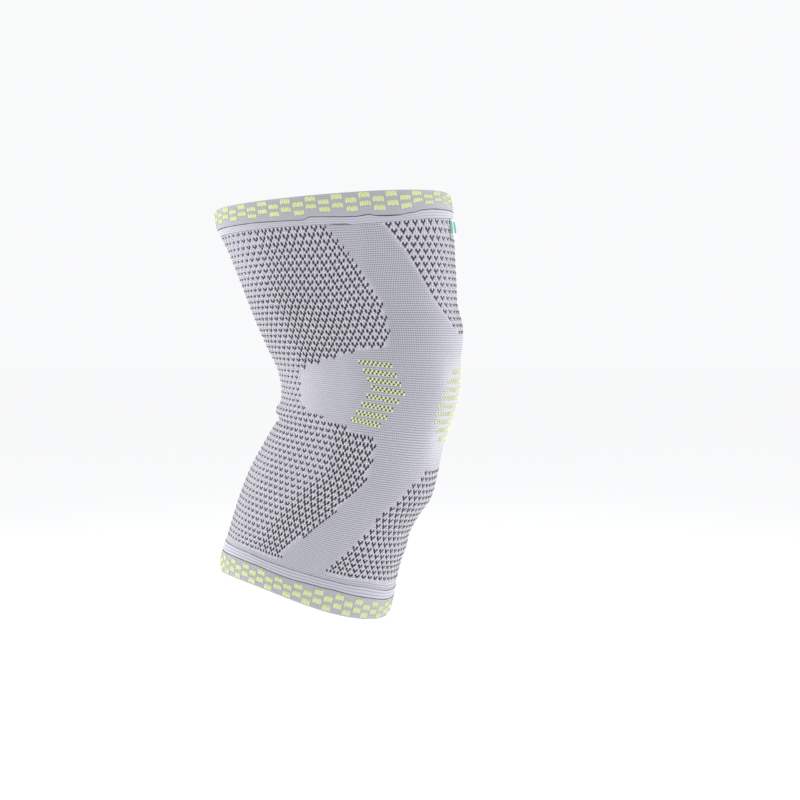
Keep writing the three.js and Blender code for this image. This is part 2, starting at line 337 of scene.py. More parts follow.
def make_mesh(name, points, quads, triangles=(), uv=None, layers=None):
    """An object from points in millimetres, with its uv and layers given for each point."""
    mesh = bpy.data.meshes.new(name)
    quads = np.asarray(quads, int).reshape(-1, 4)
    triangles = np.asarray(triangles, int).reshape(-1, 3)
    loops = np.concatenate([quads.ravel(), triangles.ravel()])
    sizes = np.concatenate([np.full(len(quads), 4), np.full(len(triangles), 3)])
    mesh.vertices.add(len(points))
    mesh.vertices.foreach_set("co", (np.asarray(points) * 0.001).astype(np.float32).ravel())
    mesh.loops.add(len(loops))
    mesh.loops.foreach_set("vertex_index", loops.astype(np.int32))
    mesh.polygons.add(len(sizes))
    starts = np.concatenate([[0], np.cumsum(sizes)[:-1]])
    mesh.polygons.foreach_set("loop_start", starts.astype(np.int32))
    mesh.polygons.foreach_set("loop_total", sizes.astype(np.int32))
    mesh.polygons.foreach_set("use_smooth", np.ones(len(sizes), bool))
    if uv is not None:
        layer = mesh.uv_layers.new(name="knit")
        layer.data.foreach_set("uv", np.asarray(uv, np.float32)[loops].ravel())
    for key, values in (layers or {}).items():
        layer = mesh.attributes.new(key, "FLOAT", "POINT")
        layer.data.foreach_set("value", np.asarray(values, np.float32).ravel())
    mesh.update(calc_edges=True)
    mesh.validate()
    obj = bpy.data.objects.new(name, mesh)
    bpy.context.collection.objects.link(obj)
    return obj


def ring_quads(rows, columns):
    """Quads of a grid that closes around its rows and around its columns."""
    i, j = np.meshgrid(np.arange(rows), np.arange(columns), indexing="ij")
    i2, j2 = (i + 1) % rows, (j + 1) % columns
    corners = (i * columns + j, i * columns + j2, i2 * columns + j2, i2 * columns + j)
    return np.stack(corners, -1).reshape(-1, 4)


def ring_mesh(name, distance, marks, rise, v, layers=None):
    """A tube around the leg. Rows run up the outer face, over the rim and down the inner face."""
    rows, columns = distance.shape
    points = place(distance, angle_of(distance, marks), rise).reshape(-1, 3)
    quads = ring_quads(rows, columns)
    obj = make_mesh(name, points, quads, layers=layers)
    # where the tube closes, the uv of a quad's far corners goes on past 1
    row, column_index = quads // columns, quads % columns
    closing = (column_index == 0) & (column_index.max(1, keepdims=True) == columns - 1)
    u = marks[0][column_index] / MARKS
    u = np.where(closing, u + 1.0, u)
    up = v[row, column_index]
    jump = up.max(1, keepdims=True) - up.min(1, keepdims=True) > 0.5
    up = np.where(jump & (up < 0.5), up + 1.0, up)
    uv = np.stack([u, up], -1).reshape(-1, 2)
    layer = obj.data.uv_layers.new(name="knit")
    layer.data.foreach_set("uv", uv.astype(np.float32).ravel())
    return obj


def spread_profile(profile, marks):
    """Distance, rise and column of every point of a ring with this profile."""
    profile = np.array(profile)
    along = np.zeros(len(marks))
    return profile[:, :1] + along, profile[:, 1:] + along, np.zeros((len(profile), 1)) + marks


def seam_shift(distance, marks):
    """How far the knit near the welts follows their sewn edges."""
    turn = np.degrees(np.mod(angle_of(distance, marks), 2 * math.pi))
    turn = np.minimum(turn, 360 - turn)
    total = 0
    # each end of the sleeve: its rim, the welt's sewn edge and the band's far edge
    for side, end, seam, edge, sewn, even in (
        (1, THIGH_LENGTH, THIGH_LENGTH - TOP_WELT, HIGH, TOP_SEAM, TOP_EDGE),
        (-1, CALF_LENGTH, CALF_LENGTH - BOTTOM_WELT, -LOW, BOTTOM_SEAM, BOTTOM_EDGE),
    ):
        out = side * distance
        share = np.clip((out - edge) / (seam - edge), 0, 1)
        shift = mix(np.interp(turn, *even.T), np.interp(turn, *sewn.T), share)
        total = total + shift * smooth(out, edge - 12, edge) * smooth(out, end - 1, seam + 1)
    return total


def even_v(distance):
    """Rows of marks from the lower band, as a share of all of them."""
    return (distance - LOW) / (HIGH - LOW)


def band_face(distance, edge, end):
    """Height of a band's outer face, with its ribs, and depth of its grooves from 0 to 1, which the
    material paints as shade.
    """
    t = (distance - edge) / (end - edge)
    rib = abs(math.sin(math.pi * BAND_RIBS * t)) ** (0.6 if end > 0 else 1.0)
    return BAND_RISE * smooth(t, -0.02, 0.1) - 0.2 + 0.24 * rib, 1 - rib


def sleeve_body():
    """The knitted tube, with a ribbed band at each end."""
    top = THIGH_LENGTH - TOP_WELT - GAP
    bottom = BOTTOM_WELT + GAP - CALF_LENGTH
    body_rows = np.linspace(LOW, HIGH, MARK_ROWS * 4 + 1)
    low_band = np.linspace(bottom, LOW, 31)[:-1]
    high_band = np.linspace(HIGH, top, 23)[1:]
    outer = np.concatenate([low_band, body_rows, high_band])
    inner = np.linspace(top, bottom, 30)
    profile, grooves = [], []
    for distance in outer:
        height, groove_shade = 0.0, 0.0
        if distance > HIGH:
            height, groove_shade = band_face(distance, HIGH, top)
        elif distance < LOW:
            height, groove_shade = band_face(distance, LOW, bottom)
        profile.append((distance, height))
        grooves.append(groove_shade)
    profile[0], profile[-1] = (outer[0], BAND_RISE - 0.25), (outer[-1], BAND_RISE - 0.25)
    # over the top rim, down the inner face and round the lower rim
    profile += [(top + 0.05, -0.5), (top, -1.2)]
    first_inner = len(profile)
    profile += [(distance, -WALL) for distance in inner]
    profile += [(bottom, -1.2), (bottom - 0.05, -0.5)]
    flat, r, m = spread_profile(profile, np.arange(MARKS * WALES) / WALES)
    row = np.arange(len(profile))[:, None]
    outside = (row < len(outer)) & (flat >= LOW) & (flat <= HIGH)
    inside = (row >= first_inner) & (row < first_inner + len(inner))
    sunk = relief(flat, m)
    r = r + np.where(outside, sunk, 0)
    r = r + np.where(inside, 0.5 * sunk, 0)
    d = flat + course_wave(flat, m) + seam_shift(flat, m)
    wide = open_mesh(flat, m, 0.4) * ((flat < HIGH) & (flat > LOW))
    # depth of the bands' grooves, painted as shade by the material
    groove_shade = np.zeros(flat.shape)
    groove_shade[:len(grooves)] = np.array(grooves)[:, None]
    bands = ((flat > HIGH) | (flat < LOW)).astype(float)
    side = from_front(m)
    # the knit is paler in a round patch at the side, more so towards the back
    paler_knit_and_highlight = smooth(side, 14.5, 17.5) * smooth(np.abs(flat - 4), 32, 24)
    paler_knit_and_highlight = paler_knit_and_highlight * mix(0.7, 1.4, smooth(side, 18, 24))
    # painted highlight: the knit over the kneecap is painted paler, where the light falls brighter
    paler_knit_and_highlight = paler_knit_and_highlight + 1.7 * smooth(side, 6.0, 3.0) * smooth(flat, -42, -12) * smooth(flat, 34, 12)
    # the strip beside the upper front mesh is knitted with small holes
    holes = smooth(side, 13.4, 12.2) * smooth(side, 4, 8) * smooth(flat, 12, 40) * (1 - bands)
    layers = {"open_mesh": wide, "groove_shade": groove_shade, "band": bands, "paler_knit_and_highlight": paler_knit_and_highlight, "holes": holes}
    return ring_mesh("sleeve_knit", d, m, r, even_v(flat) * ROWS_SHARE, layers)


def welt_rise(depth, height, marks):
    """Height of a welt's outer face over the sleeve, by depth from its sewn edge."""
    t = np.clip((depth - 0.5) / (height - WELT_EDGE - 0.5), 0, 1)
    face = smooth(depth, 0.4, 1.4) * smooth(depth, height - 0.4, height - 1.6)
    turn = 2 * math.pi * marks / MARKS
    wave = 0.1 * np.sin(5 * turn + 1.3) + 0.07 * np.sin(11 * turn + 0.4)
    wave = wave + 0.05 * np.sin(17 * turn + 2.2)
    return WELT_CROWN * np.sin(math.pi * t) ** 0.7 + face * wave


def welt(name, side, length, height):
    """A folded welt with its hem inside. Side is 1 at the top rim and -1 at the bottom one."""
    seam = length - height
    fold, hem = length - WELT_EDGE, seam - HEM_REACH
    slot = WALL + GAP
    inside = slot + HEM_WALL
    half = (WELT_RISE + inside) / 2
    mid = (WELT_RISE - inside) / 2
    # from the sewn edge along the face, over the rim, down the hem and back to the sewn edge
    profile = [(seam + 0.05, -0.1), (seam - 0.02, 0.15), (seam + 0.15, 0.42)]
    profile += [(mix(seam + 0.5, fold, t), WELT_RISE) for t in np.linspace(0, 1, 27)[:-1]]
    for t in np.linspace(0, math.pi, 10):
        profile.append((fold + WELT_EDGE * math.sin(t), mid + half * math.cos(t)))
    profile += [(mix(fold, hem, t), -inside) for t in np.linspace(0, 1, 9)[1:]]
    profile += [(hem - 0.25, -(slot + inside) / 2), (hem, -slot - 0.1)]
    profile += [(seam - HEM_REACH / 2, -slot), (seam + 0.2, -slot)]
    if side < 0:
        profile = [(-d, r) for d, r in profile[::-1]]
    steps = WALES * 2
    flat, r, m = spread_profile(profile, np.arange(MARKS * steps) / steps)
    away = np.abs(flat)
    face = smooth(away, seam + 0.4, seam + 1.4) * smooth(away, length - 0.4, length - 1.6) * (r > 0)
    r = r + face * 0.055 * np.cos(2 * math.pi * m * WALES)
    r = r + np.where(r > 0, welt_rise(away - seam, height, m), 0)
    d = flat + seam_shift(flat, m) * (r > -slot + 0.2)
    v = (away - seam) / height
    return ring_mesh(name, d, m, r, np.mod(v * 0.4 + 0.3, 1.0))


# Stitches: small closed grains that lie along the knit

GRAIN = np.array([
    (-1, 0, 0), (-0.62, 0.85, 0), (0, 1, 0), (0.62, 0.85, 0),
    (1, 0, 0), (0.62, -0.85, 0), (0, -1, 0), (-0.62, -0.85, 0),
    (-0.5, 0, 0.92), (0, 0, 1), (0.5, 0, 0.92), (0, 0, -0.8),
])
GRAIN_FACES = np.array([
    (0, 8, 1), (1, 8, 9), (1, 9, 2), (2, 9, 3), (3, 9, 10), (3, 10, 4),
    (4, 10, 5), (5, 10, 9), (5, 9, 6), (6, 9, 7), (7, 9, 8), (7, 8, 0),
    (1, 11, 0), (2, 11, 1), (3, 11, 2), (4, 11, 3), (5, 11, 4), (6, 11, 5), (7, 11, 6), (0, 11, 7),
])

# The same with fuller ends, for the dark yarn of the mesh
DASH = GRAIN.copy()
DASH[[1, 3, 5, 7], 0] = (-0.82, 0.82, 0.82, -0.82)
DASH[[1, 3, 5, 7], 1] = (0.8, 0.8, -0.8, -0.8)
DASH[[8, 10], 0] = (-0.68, 0.68)

# The same with blunt ends, for blocks that lie side by side
BLOCK = GRAIN.copy()
BLOCK[[0, 4], 0] = (-1.03, 1.03)
BLOCK[[1, 7], 0] = -0.93
BLOCK[[3, 5], 0] = 0.93
BLOCK[[1, 3, 5, 7], 1] = (0.96, 0.96, -0.96, -0.96)
BLOCK[[8, 10], 0] = (-0.78, 0.78)

# A round loop of the knit
LOOP = np.array([
    (-1, 0, 0), (-0.5, 0.9, 0), (0.5, 0.9, 0), (1, 0, 0), (0.5, -0.9, 0), (-0.5, -0.9, 0),
    (0, 0, 1), (0, 0, -0.8),
])
LOOP_FACES = np.array(
    [(i, 6, (i + 1) % 6) for i in range(6)] + [((i + 1) % 6, 7, i) for i in range(6)]
)


def stitches(name, start, end, half_width, height, lift, grain=GRAIN, grain_faces=GRAIN_FACES):
    """Grains from start to end, given as distance and column of marks, one row each."""
    start, end = np.asarray(start, float), np.asarray(end, float)
    count = len(start)

    def worn(spots):
        """Distances of the spots where the knit sags and follows the seams."""
        return spots[:, 0] + course_wave(*spots.T) + seam_shift(*spots.T)

    centre = (start + end) / 2
    angle = angle_of(*centre.T)
    normal = outward(worn(centre), angle)
    along = skin(worn(end), angle_of(*end.T)) - skin(worn(start), angle_of(*start.T))
    length = np.linalg.norm(along, axis=1, keepdims=True)
    along = along / length
    across = np.cross(normal, along)
    half_width = np.broadcast_to(half_width, count)[:, None, None]
    height = np.broadcast_to(height, count)[:, None, None]
    lift = np.broadcast_to(lift, count)[:, None]
    origin = skin(worn(centre), angle) + normal * lift
    points = (
        origin[:, None, :]
        + along[:, None, :] * grain[None, :, 0:1] * length[:, None, :] / 2
        + across[:, None, :] * grain[None, :, 1:2] * half_width
        + normal[:, None, :] * grain[None, :, 2:3] * height
    )
    faces = grain_faces[None] + (np.arange(count) * len(grain))[:, None, None]
    uv = np.tile(grain[:, :2] * 0.5 + 0.5, (count, 1))
    return make_mesh(name, points.reshape(-1, 3), (), faces.reshape(-1, 3), uv=uv)


def forked(side):
    """How far the arms of a mark draw together towards the front of the leg, from 0 to 1."""
    return smooth(side, 12.0, 8.5)


def cupped(distance, side):
    """How far the marks turn into small thin cups behind the leg, from 0 to 1."""
    start = np.interp(distance, (-112, -85, -47, -20, 20, 110), (22, 20, 16, 16, 21, 23))
    return smooth(side - start, 0, 4)


def in_mesh(distance, marks, share):
    """Whether a place lies in the open mesh, past this share of its soft edge."""
    return open_mesh(distance, marks, 0.5) > share


def mark_places():
    """Distance and column of the middle of every mark, in every row and column."""
    places = []
    for row in range(MARK_ROWS):
        d = np.full(MARKS, HIGH - (row + 0.5) * PITCH)
        places.append(np.stack([d, np.arange(MARKS) + 0.5 * (row % 2)], 1))
    return np.concatenate(places)


def mesh_marks():
    """The dark yarn in the open mesh: two arms at each mark, with a stem or a bowl below."""
    places = mark_places()
    d, m = places[in_mesh(*places.T, 0.4)].T
    side = from_front(m)
    fork, cup = forked(side), cupped(d, side)
    # the marks are smaller towards the back, behind the knee and at the front centre
    small = 1 - 0.42 * smooth(side, 25.5, 32)
    small = small - 0.22 * smooth(abs(d - 2), 26, 14) * smooth(side, 22, 26)
    small = small - 0.42 * smooth(side, 5.5, 1.0)
    bold = mix(0.68, mix(0.52, 0.62, smooth(d, 10, 60)), cup) * small
    starts, ends, widths = [], [], []

    def dash(chosen, upper, left, lower, right, width):
        starts.append(np.stack([d + upper * PITCH, m + left], 1)[chosen])
        ends.append(np.stack([d + lower * PITCH, m + right], 1)[chosen])
        widths.append(width[chosen])

    high = mix(mix(0.46, 0.44, fork), 0.38, cup) * small
    low = -mix(mix(0.1, -0.02, fork), 0.0, cup) * small
    top = mix(mix(0.28, 0.25, fork), 0.22 * small, cup)
    foot = mix(mix(0.23, 0.16, fork), 0.17 * small, cup)
    every = np.ones(len(d), bool)
    for sign in (-1, 1):
        dash(every, high, sign * top, low, sign * foot, bold)
    stem = (cup < 0.6) & (d - 0.2 * PITCH > STEM_FLOOR)
    stem_foot = -mix(mix(0.46, 0.4, fork), 0.38, cup) * small
    dash(stem, mix(0.04, 0.02, fork), 0.0, stem_foot, 0.0, bold * mix(1.0, 0.8, fork))
    dash(cup >= 0.6, -0.05 * small, -0.15 * small, -0.05 * small, 0.15 * small, bold * 0.95)
    dash(fork > 0.5, 0.0, -0.17, 0.0, 0.17, bold * 0.95)
    starts, ends = np.concatenate(starts), np.concatenate(ends)
    return stitches("mesh_yarn", starts, ends, np.concatenate(widths), 0.24, -0.1, DASH)


def mesh_loops(name, lowest, highest):
    """The pale stitches of the open mesh: around its marks, below them and in the wales between."""
    spots = ((-0.36, 0.0), (0.3, -0.25), (0.3, 0.25), (-0.34, 0.5), (0.0, 0.5), (0.34, 0.5))
    places = mark_places()
    places = places[(places[:, 0] > lowest) & (places[:, 0] <= highest)]
    centres = [places + np.array([-down * PITCH, beside]) for down, beside in spots]
    centres = np.concatenate(centres)
    centres = centres[in_mesh(*centres.T, 0.8) & (centres[:, 0] < HIGH - 0.5)]
    half = np.array([0.72, 0.0])
    return stitches(name, centres + half, centres - half, 0.62, 0.34, -0.08, LOOP, LOOP_FACES)


def bar_cells():
    """Places of the stitches of all the bars, with 0 for bright and 1 for dark."""
    cells = []

    def pair(distance, marks, index):
        for k in range(2):
            cells.append((distance + (0.5 - k) * BAR_COURSE, marks, (index + k) % 2))

    for back, back_end, front, front_end in SIDE_BARS:
        count = int(round((back_end - front_end) * WALES)) + 1
        for side in (1, -1):
            for i in range(count):
                t = i / (count - 1)
                pair(mix(back, front, t), side * mix(back_end, front_end, t), i)
    for distance, half in KNEE_BARS:
        for i in range(int(round(2 * half * WALES)) + 1):
            pair(distance, -half + i / WALES, i)
    return np.array(cells)


def bar_stitches():
    """The stitches of the bars: bright at the sides, bright over the kneecap, and dark."""
    cells = bar_cells()
    bright, deep = cells[cells[:, 2] == 0, :2], cells[cells[:, 2] == 1, :2]
    half = np.array([1.04, -0.03])
    start, end = bright + half, bright - half
    over_knee = from_front(bright[:, 1]) < 7
    aside = ~over_knee
    at_side = stitches("bar_yarn", start[aside], end[aside], 0.84, 0.42, 0.12)
    # over the kneecap the lime is a paler copy, a painted highlight
    at_knee = stitches("knee_bar_yarn", start[over_knee], end[over_knee], 0.78, 0.36, 0.06)
    # over the kneecap the dark yarn lies deeper and is thinner
    ahead = smooth(from_front(deep[:, 1]), 8, 4)
    width, lift = mix(0.44, 0.22, ahead), mix(0.1, -0.1, ahead)
    half = np.array([0.6, 0.0])
    between = stitches("bar_dark_yarn", deep + half, deep - half, width, 0.22, lift)
    return at_side, at_knee, between


# Squares around each welt, and depths of their rows from the rim
CHECKS = 52
TOP_CHECKS = (2.5, 5.2, 7.85, 10.4)
BOTTOM_CHECKS = (3.3, 6.2, 9.05, 11.9)


def check_stitches(name, side, length, height, rows):
    """The welt's checkerboard: each bright block is a few upright stitches side by side."""
    starts, ends, widths = [], [], []
    step = MARKS / CHECKS
    teeth, filled = 5, 0.8
    tall = 1.62 if side > 0 else 1.78
    wide = (THIGH_ROUND if side > 0 else CALF_ROUND) / CHECKS
    for index, depth in enumerate(rows):
        centre = side * (length - depth)
        for block in range(CHECKS):
            if (block + index) % 2:
                continue
            for tooth in range(teeth):
                x = (block + 0.5 + filled * ((tooth + 0.5) / teeth - 0.5)) * step
                nudge = 0.14 * (1 if tooth % 2 else -1)
                starts.append((centre + tall + nudge, x))
                ends.append((centre - tall + nudge, x))
                widths.append(0.54 * filled * wide / teeth)
    starts, ends = np.array(starts), np.array(ends)
    between = (starts + ends) / 2
    depth = np.abs(between[:, 0]) - length + height
    rise = WELT_RISE + 0.1 + welt_rise(depth, height, between[:, 1])
    return stitches(name, starts, ends, np.array(widths), 0.26, rise, BLOCK)


def shade_dots(name, side, seam, rise, weight):
    """Painted shade: a dark dotted line around the leg, stronger in some places than in others."""
    x = np.arange(MARKS * WALES) / WALES
    turn = 2 * math.pi * x / MARKS
    uneven = 0.5 + 0.28 * np.sin(7 * turn + 0.6) + 0.22 * np.sin(19 * turn + 2.1)
    uneven = uneven + 0.2 * np.sin(43 * turn)
    strong = np.clip(weight * (0.45 + 0.75 * np.clip(uneven, 0, 1)), 0.05, None)
    d = np.full(len(x), side * seam)
    half = 0.065
    start, end = np.stack([d, x - half], 1), np.stack([d, x + half], 1)
    return stitches(name, start, end, strong, 0.16, rise)


def open_fold(name, side, seam, rise, first, last, reach):
    """The shadow in a fold of the band that stands open, on both sides of the leg."""
    count = 9
    t = (np.arange(count) + 0.5) / count
    x = mix(first, last, t)
    x = np.concatenate([x, -x])
    half = (last - first) / count * 0.62
    swell = np.tile(reach * np.sin(math.pi * t) ** 0.5, 2)
    d = np.full(len(x), side * seam)
    start, end = np.stack([d, x - half], 1), np.stack([d, x + half], 1)
    return stitches(name, start, end, swell, 0.12, rise)


def side_tag():
    """A folded tape: down on the outside, round the lower end and back up behind."""
    top = THIGH_LENGTH - TOP_WELT - TOP_BAND - 2 * GAP
    radius = (THIGH_DEPTH + THIGH_WIDTH) / 4
    half_turn = TAG_WIDTH / 2 / radius
    across, down = np.linspace(-1, 1, 25), np.linspace(0, 1, 25)
    straight = 0.965 * TAG_HEIGHT
    face, rear = GAP + TAG_WALL - 0.02, GAP

    def flare(t):
        return TAG_FLARE * t * t + 0.25 * np.sin(math.pi * t) ** 2

    # each point of the path: distance, rise, and how far down the tag it is from 0 to 1
    path = [(top - straight * t, face + flare(t), t) for t in down]
    for a in np.linspace(0, math.pi, 9)[1:-1]:
        end = top - straight - (TAG_HEIGHT - straight) * math.sin(a)
        path.append((end, mix(rear, face + flare(1.0), 0.5 + 0.5 * math.cos(a)), 1.0))
    path += [(top - straight * t, rear, t) for t in down[::-1]]
    outer = np.array(path)
    # the tape's inner side, a little inside the folded path
    between = (face + flare(outer[:, 2]) + rear) / 2
    inner = outer.copy()
    inner[:, 1] = between + 0.08 * (outer[:, 1] - between)
    inner[:, 0] = np.where(outer[:, 2] >= 1, outer[:, 0] + 0.45, outer[:, 0])
    loop = np.concatenate([outer, inner[::-1]])
    rows, lines = len(loop), len(across)
    d = loop[:, 0][:, None] + np.zeros(lines)
    bow = 0.12 * (1 - across ** 2)
    r = loop[:, 1][:, None] + bow[None, :] * loop[:, 2][:, None]
    a = half_turn * across[None, :] + np.zeros((rows, 1))
    # it hangs from the band's edge, which is drawn up at the front
    points = place(d + TOP_EDGE[0, 1], a, r).reshape(-1, 3)
    i, j = np.meshgrid(np.arange(rows) * lines, np.arange(lines - 1), indexing="ij")
    i2 = (i + lines) % (rows * lines)
    quads = np.stack([i + j, i2 + j, i2 + j + 1, i + j + 1], -1).reshape(-1, 4)
    caps = []
    last = lines - 1
    for k in range(len(outer) - 1):
        near, near2 = k * lines, (k + 1) * lines
        far, far2 = (rows - 1 - k) * lines, (rows - 2 - k) * lines
        caps.append((near, far, far2, near2))
        caps.append((near + last, near2 + last, far2 + last, far + last))
    quads = np.concatenate([quads, np.array(caps)])
    uv = np.stack([np.tile(across * 0.5 + 0.5, rows), np.repeat(loop[:, 2], lines)], -1)
    tape = make_mesh("tag_tape", points, quads, uv=uv)
    smooth_faces = np.arange(len(quads)) < len(quads) - len(caps)
    tape.data.polygons.foreach_set("use_smooth", smooth_faces)
    return tape


# Materials, all from nodes

class Paint:
    """A small helper that wires one material's nodes."""

    def __init__(self, name):
        self.material = bpy.data.materials.new(name)
        self.material.use_nodes = True
        self.tree = self.material.node_tree
        self.tree.nodes.clear()
        self.out = self.tree.nodes.new("ShaderNodeOutputMaterial")
        self.shader = self.tree.nodes.new("ShaderNodeBsdfPrincipled")
        self.tree.links.new(self.shader.outputs[0], self.out.inputs[0])

    def node(self, kind, **settings):
        made = self.tree.nodes.new(kind)
        for key, value in settings.items():
            setattr(made, key, value)
        return made

    def feed(self, socket, value):
        if isinstance(value, bpy.types.NodeSocket):
            self.tree.links.new(value, socket)
        else:
            socket.default_value = value

    def math(self, operation, *values):
        made = self.node("ShaderNodeMath", operation=operation)
        for socket, value in zip(made.inputs, values):
            self.feed(socket, value)
        return made.outputs[0]

    def blend(self, factor, a, b):
        made = self.node("ShaderNodeMix", data_type="RGBA")
        self.feed(made.inputs[0], factor)
        self.feed(made.inputs[6], a)
        self.feed(made.inputs[7], b)
        return made.outputs[2]

    def noise(self, scale, detail):
        made = self.node("ShaderNodeTexNoise")
        made.inputs["Scale"].default_value = scale
        made.inputs["Detail"].default_value = detail
        self.feed(made.inputs["Vector"], self.node("ShaderNodeTexCoord").outputs["Object"])
        return made.outputs[0]

    def step(self, value, low, high):
        """0 below the low value and 1 above the high one."""
        made = self.node("ShaderNodeMapRange", interpolation_type="SMOOTHSTEP")
        self.feed(made.inputs[0], value)
        made.inputs[1].default_value, made.inputs[2].default_value = low, high
        return made.outputs[0]

    def uv(self):
        made = self.node("ShaderNodeUVMap", uv_map="knit")
        split = self.node("ShaderNodeSeparateXYZ")
        self.feed(split.inputs[0], made.outputs[0])
        return split.outputs[0], split.outputs[1]

    def attribute(self, name):
        made = self.node("ShaderNodeAttribute", attribute_name=name)
        return made.outputs["Fac"]

    def wave(self, value, count=1.0):
        """A cosine from -1 to 1 with so many periods for each 1 of the value."""
        return self.math("COSINE", self.math("MULTIPLY", value, 2 * math.pi * count))

    def bump(self, height, distance, strength):
        made = self.node("ShaderNodeBump")
        made.inputs["Strength"].default_value = strength
        made.inputs["Distance"].default_value = distance
        self.feed(made.inputs["Height"], height)
        self.tree.links.new(made.outputs[0], self.shader.inputs["Normal"])


def colour(r, g, b):
    """A display colour from 0 to 255 as a linear one."""
    shares = (r / 255, g / 255, b / 255)
    return (*(c / 12.92 if c <= 0.04045 else ((c + 0.055) / 1.055) ** 2.4 for c in shares), 1.0)


def knit_stitch(p, wale, course):
    """Height of a plain knit face: slanted legs in each wale, from 0 to 1."""
    across = p.math("PINGPONG", wale, 0.5)
    slant = p.math("MULTIPLY_ADD", across, 1.1, course)
    both = p.math("MULTIPLY_ADD", p.wave(wale), -0.45, p.wave(slant))
    return p.math("MULTIPLY_ADD", both, 0.34, 0.5)


def grey_knit():
    """The knit of the sleeve: fine courses, open mesh, bands with painted shade in their grooves, a
    paler patch at the side, a painted highlight over the kneecap and small holes.
    """
    p = Paint("grey_knit")
    u, v = p.uv()
    wale = p.math("MULTIPLY", u, float(MARKS * WALES))
    course = p.math("MULTIPLY", v, float(MARK_ROWS * COURSES))
    band = p.attribute("band")
    drift, fibre = p.noise(14.0, 3.0), p.noise(2200.0, 2.0)
    # fine courses, with a dark dot at each stitch
    line = p.math("MULTIPLY_ADD", p.wave(course), 0.5, 0.5)
    dots = p.math("MULTIPLY_ADD", p.wave(wale), 0.3, 0.7)
    shade = p.math("MULTIPLY", p.math("POWER", line, 1.6), dots)
    base = p.blend(drift, colour(184, 184, 194), colour(198, 198, 208))
    base = p.blend(shade, base, colour(104, 104, 118))
    # paler knit in the patch at the side, and the painted highlight over the kneecap
    base = p.blend(p.math("MULTIPLY", p.attribute("paler_knit_and_highlight"), 0.38), base, colour(208, 206, 215))
    # the holes lie between the wales
    hole = p.math("POWER", p.math("MULTIPLY_ADD", p.wave(wale), 0.5, 0.5), 2.0)
    hole = p.math("MULTIPLY", hole, line)
    hole = p.math("MULTIPLY", hole, p.math("MULTIPLY", p.attribute("holes"), 0.5))
    base = p.blend(hole, base, colour(74, 74, 88))
    base = p.blend(band, base, colour(194, 194, 204))
    base = p.blend(p.attribute("open_mesh"), base, colour(190, 189, 201))
    # painted shade in the grooves between the bands' ribs
    groove_shade = p.math("MULTIPLY", p.attribute("groove_shade"), 0.65)
    base = p.blend(groove_shade, base, colour(112, 111, 125))
    base = p.blend(p.math("MULTIPLY", fibre, 0.08), base, colour(225, 225, 232))
    p.feed(p.shader.inputs["Base Color"], base)
    p.shader.inputs["Roughness"].default_value = 0.88
    p.shader.inputs["Sheen Weight"].default_value = 0.5
    p.shader.inputs["Sheen Roughness"].default_value = 0.4
    # the bands are knitted flatter
    flatter = p.math("MULTIPLY_ADD", band, -0.85, 1.0)
    height = p.math("MULTIPLY", knit_stitch(p, wale, course), flatter)
    p.bump(p.math("MULTIPLY_ADD", fibre, 0.25, height), 0.00022, 0.75)
    return p.material


def yarn(name, dark, light, sheen=0.2):
    """Plain yarn of one colour with a twist of lighter fibres."""
    p = Paint(name)
    twist, slow = p.noise(900.0, 3.0), p.noise(30.0, 2.0)
    both = p.math("MULTIPLY_ADD", twist, 0.7, p.math("MULTIPLY", slow, 0.3))
    p.feed(p.shader.inputs["Base Color"], p.blend(both, dark, light))
    p.shader.inputs["Roughness"].default_value = 0.8
    p.shader.inputs["Sheen Weight"].default_value = sheen
    p.bump(twist, 0.00012, 0.6)
    return p.material


def check_knit():
    """The grey ground of the welts, a close plain knit."""
    p = Paint("check_knit")
    u, v = p.uv()
    wale, course = p.math("MULTIPLY", u, float(MARKS * WALES)), p.math("MULTIPLY", v, 28.0)
    stitch = knit_stitch(p, wale, course)
    drift, fibre = p.noise(18.0, 3.0), p.noise(2200.0, 2.0)
    plain = p.blend(drift, colour(182, 183, 190), colour(198, 199, 205))
    base = p.blend(stitch, colour(148, 149, 158), plain)
    base = p.blend(p.math("MULTIPLY", fibre, 0.12), base, colour(236, 236, 240))
    p.feed(p.shader.inputs["Base Color"], base)
    p.shader.inputs["Roughness"].default_value = 0.88
    p.shader.inputs["Sheen Weight"].default_value = 0.25
    p.bump(p.math("MULTIPLY_ADD", fibre, 0.25, stitch), 0.00022, 0.8)
    return p.material


def woven_tag():
    """The tag's weave: a green stripe between mint ones, and white ends."""
    p = Paint("woven_tag")
    u, v = p.uv()
    threads = p.math("MULTIPLY", p.wave(u, 34.0), p.wave(v, 40.0))
    weave = p.math("MULTIPLY_ADD", threads, 0.5, 0.5)
    ends = p.step(p.math("ABSOLUTE", p.math("SUBTRACT", v, 0.42)), 0.27, 0.33)
    sides = p.step(p.math("ABSOLUTE", p.math("SUBTRACT", u, 0.5)), 0.20, 0.24)
    green = p.blend(weave, colour(38, 118, 90), colour(56, 138, 108))
    mint = p.blend(weave, colour(158, 210, 190), colour(180, 226, 208))
    white = p.blend(weave, colour(226, 232, 230), colour(244, 247, 246))
    base = p.blend(ends, p.blend(sides, green, mint), white)
    p.feed(p.shader.inputs["Base Color"], base)
    p.shader.inputs["Roughness"].default_value = 0.6
    p.shader.inputs["Sheen Weight"].default_value = 0.15
    p.bump(weave, 0.00010, 0.6)
    return p.material


# The pieces

def dress(obj, material, slot, *nodes):
    """Give a piece its material, hang it from the root, and hide the imported parts of the nodes it
    stands for. The slot is not used.
    """
    obj.data.materials.append(material)
    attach(obj, "root")
    if nodes:
        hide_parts(*nodes)
    return obj


